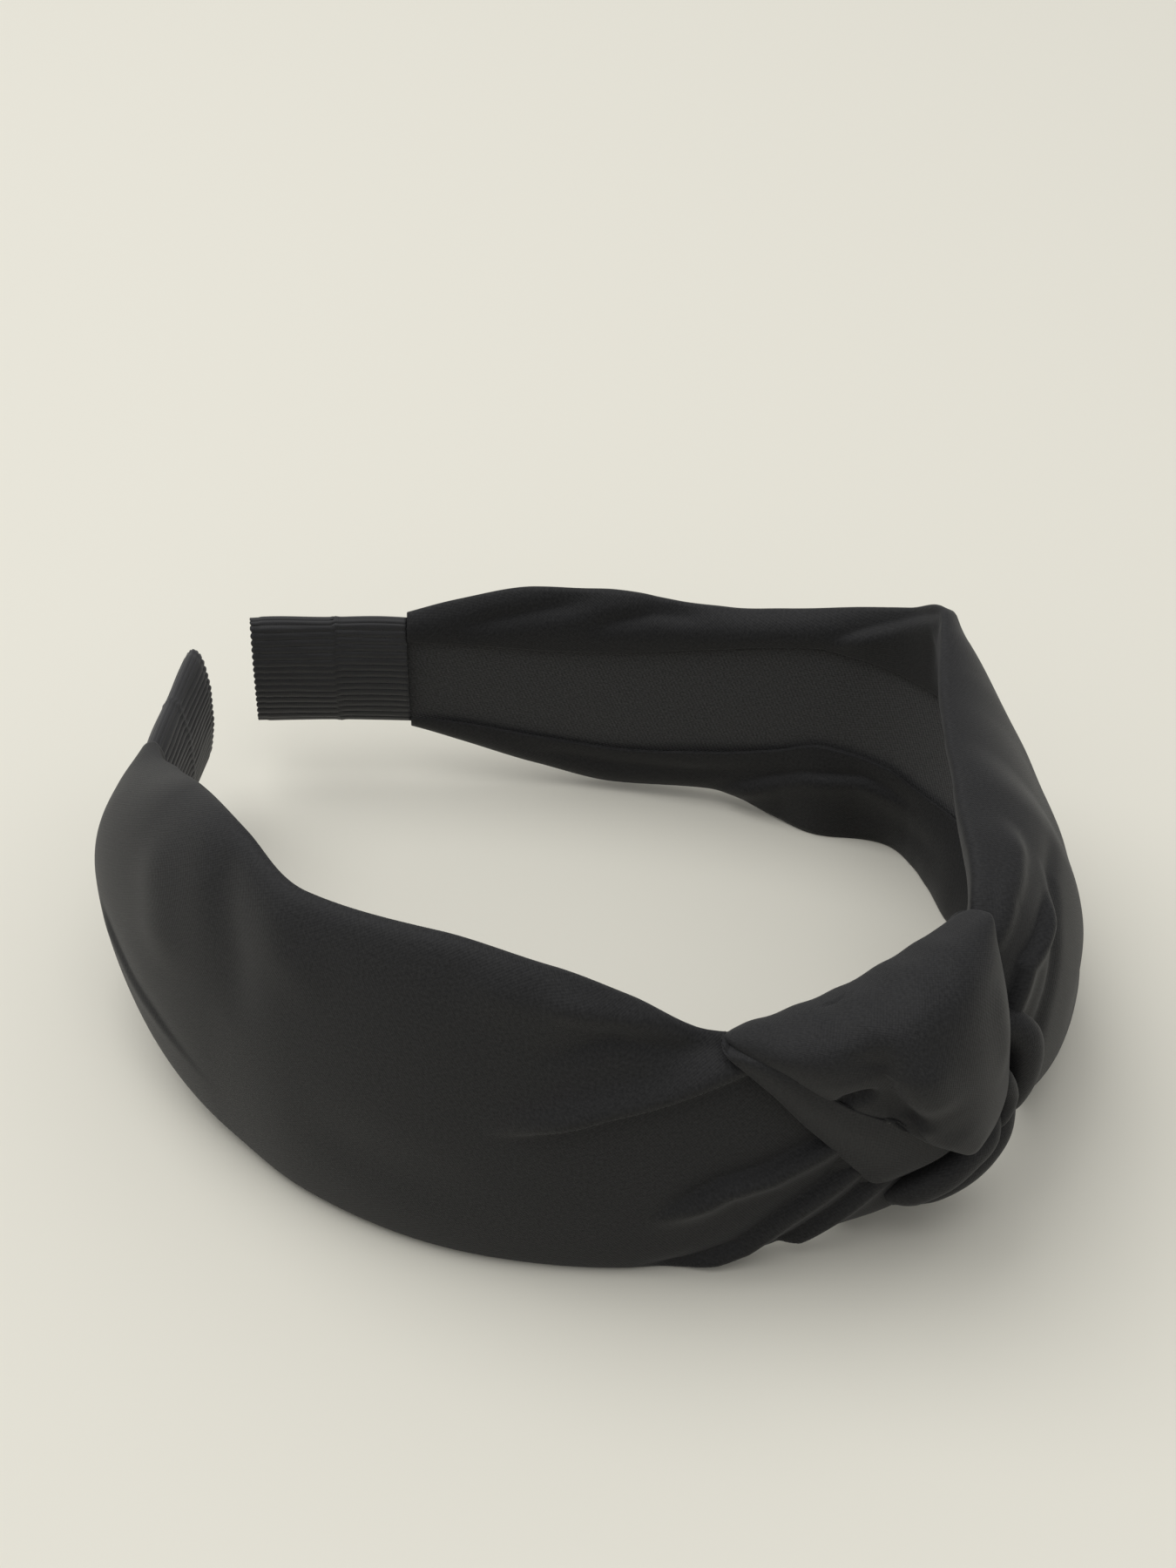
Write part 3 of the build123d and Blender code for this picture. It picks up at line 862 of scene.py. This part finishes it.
def stage():
    """Pale floor, soft studio light and the camera."""
    signs = [(-1, -1), (1, -1), (1, 1), (-1, 1)]
    corners = [(x * FLOOR_REACH, y * FLOOR_REACH, 0) for x, y in signs]
    mesh = bpy.data.meshes.new("floor")
    mesh.from_pydata(corners, [], [(0, 1, 2, 3)])
    floor = bpy.data.objects.new("floor", mesh)
    bpy.context.scene.collection.objects.link(floor)
    made = plain_material("floor", (0.72, 0.70, 0.62), 0.95)
    made.node_tree.nodes["Principled BSDF"].inputs["Specular IOR Level"].default_value = 0.1
    floor.data.materials.append(made)

    world = bpy.data.worlds.new("studio")
    bpy.context.scene.world = world
    world.use_nodes = True
    background = world.node_tree.nodes["Background"]
    background.inputs["Color"].default_value = (1, 1, 1, 1)
    background.inputs["Strength"].default_value = 0.6

    data = bpy.data.cameras.new("camera")
    data.lens = CAMERA_LENS
    data.sensor_width = CAMERA_SENSOR
    data.clip_start = 0.01
    camera = bpy.data.objects.new("camera", data)
    camera.location = CAMERA_TARGET + towards(CAMERA_AZIMUTH, CAMERA_ELEVATION) * CAMERA_DISTANCE
    camera.rotation_euler = (radians(90 - CAMERA_ELEVATION), 0, radians(CAMERA_AZIMUTH))
    bpy.context.scene.collection.objects.link(camera)
    bpy.context.scene.camera = camera

    lamp("key", azimuth=-165, elevation=64, size=1.2, power=9.0)
    lamp("front", azimuth=-50, elevation=76, size=1.0, power=3.2)


def lamp(name, azimuth, elevation, size, power):
    """A round soft light that looks at the object from an azimuth and elevation."""
    light = bpy.data.lights.new(name, "AREA")
    light.shape = "DISK"
    light.size = size
    light.energy = power
    holder = bpy.data.objects.new(name, light)
    holder.location = towards(azimuth, elevation) * LAMP_DISTANCE
    holder.rotation_euler = (radians(90 - elevation), 0, radians(azimuth))
    bpy.context.scene.collection.objects.link(holder)


# ---------------------------------------------------------------- build

SATIN = satin_material()
LINING = lining_material()
RIBBON_CLOTH = ribbon_material()
PLASTIC = plain_material("plastic", (0.03, 0.03, 0.03), 0.5)
WADDING = plain_material("wadding", (0.06, 0.06, 0.06), 0.9)
# Nodes of the frame that a roll stands for
STANDS_FOR = {"roll_outer": ["knot_tuck"], "side_loop": ["knot_loop"]}


def finish_piece(piece, cloth, replaces=()):
    """Material, slot and replaced nodes of a piece."""
    piece.data.materials.clear()
    piece.data.materials.append(cloth)
    if replaces:
        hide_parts(*replaces)


def bend(piece):
    """Bakes the piece's placement into its mesh."""
    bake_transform(piece)


wrap = knot_wrap()
flap = knot_flap()
rolls = [tube(name, **shape) for name, shape in ROLLS.items()]
gather = tube("gather", **GATHER)
finish_piece(wrap, SATIN, ["knot_wrap"])
finish_piece(flap, SATIN)
for piece in rolls:
    finish_piece(piece, SATIN, STANDS_FOR.get(piece.name, ()))
finish_piece(gather, SATIN, ["knot_gather"])
knot = [wrap, flap, gather, *rolls]
for piece in knot:
    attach(piece, "crown")

for side in (LEFT, RIGHT):
    name = SIDE_NAME[side]
    crown_too = side == LEFT
    satin = satin_leg(side)
    finish_piece(satin, SATIN, [f"satin_crown_{name}", f"satin_leg_{name}"])
    lining = strip(f"knit_{name}", side, LINING_N, LINING_EDGES[side], LINING_THICKNESS, LINING_END)
    finish_piece(lining, LINING, [f"lining_leg_{name}"] + ["lining_crown"] * crown_too)
    core = strip(f"strip_{name}", side, CORE_N, CORE_EDGES, CORE_THICKNESS, CORE_END)
    finish_piece(core, PLASTIC, [f"core_leg_{name}"] + ["core_crown"] * crown_too)
    padding = strip(f"foam_{name}", side, PADDING_N, PADDING_EDGES, PADDING_THICKNESS, PADDING_END)
    finish_piece(padding, WADDING, [f"padding_leg_{name}"] + ["padding_crown"] * crown_too)
    for piece in (satin, lining, core, padding):
        bend(piece)
    ribbon = ribbon_sleeve(side)
    finish_piece(ribbon, RIBBON_CLOTH, [f"ribbon_tip_{name}"])
    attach(ribbon, BODY[side])

stage()
bpy.context.scene.view_settings.view_transform = "Standard"
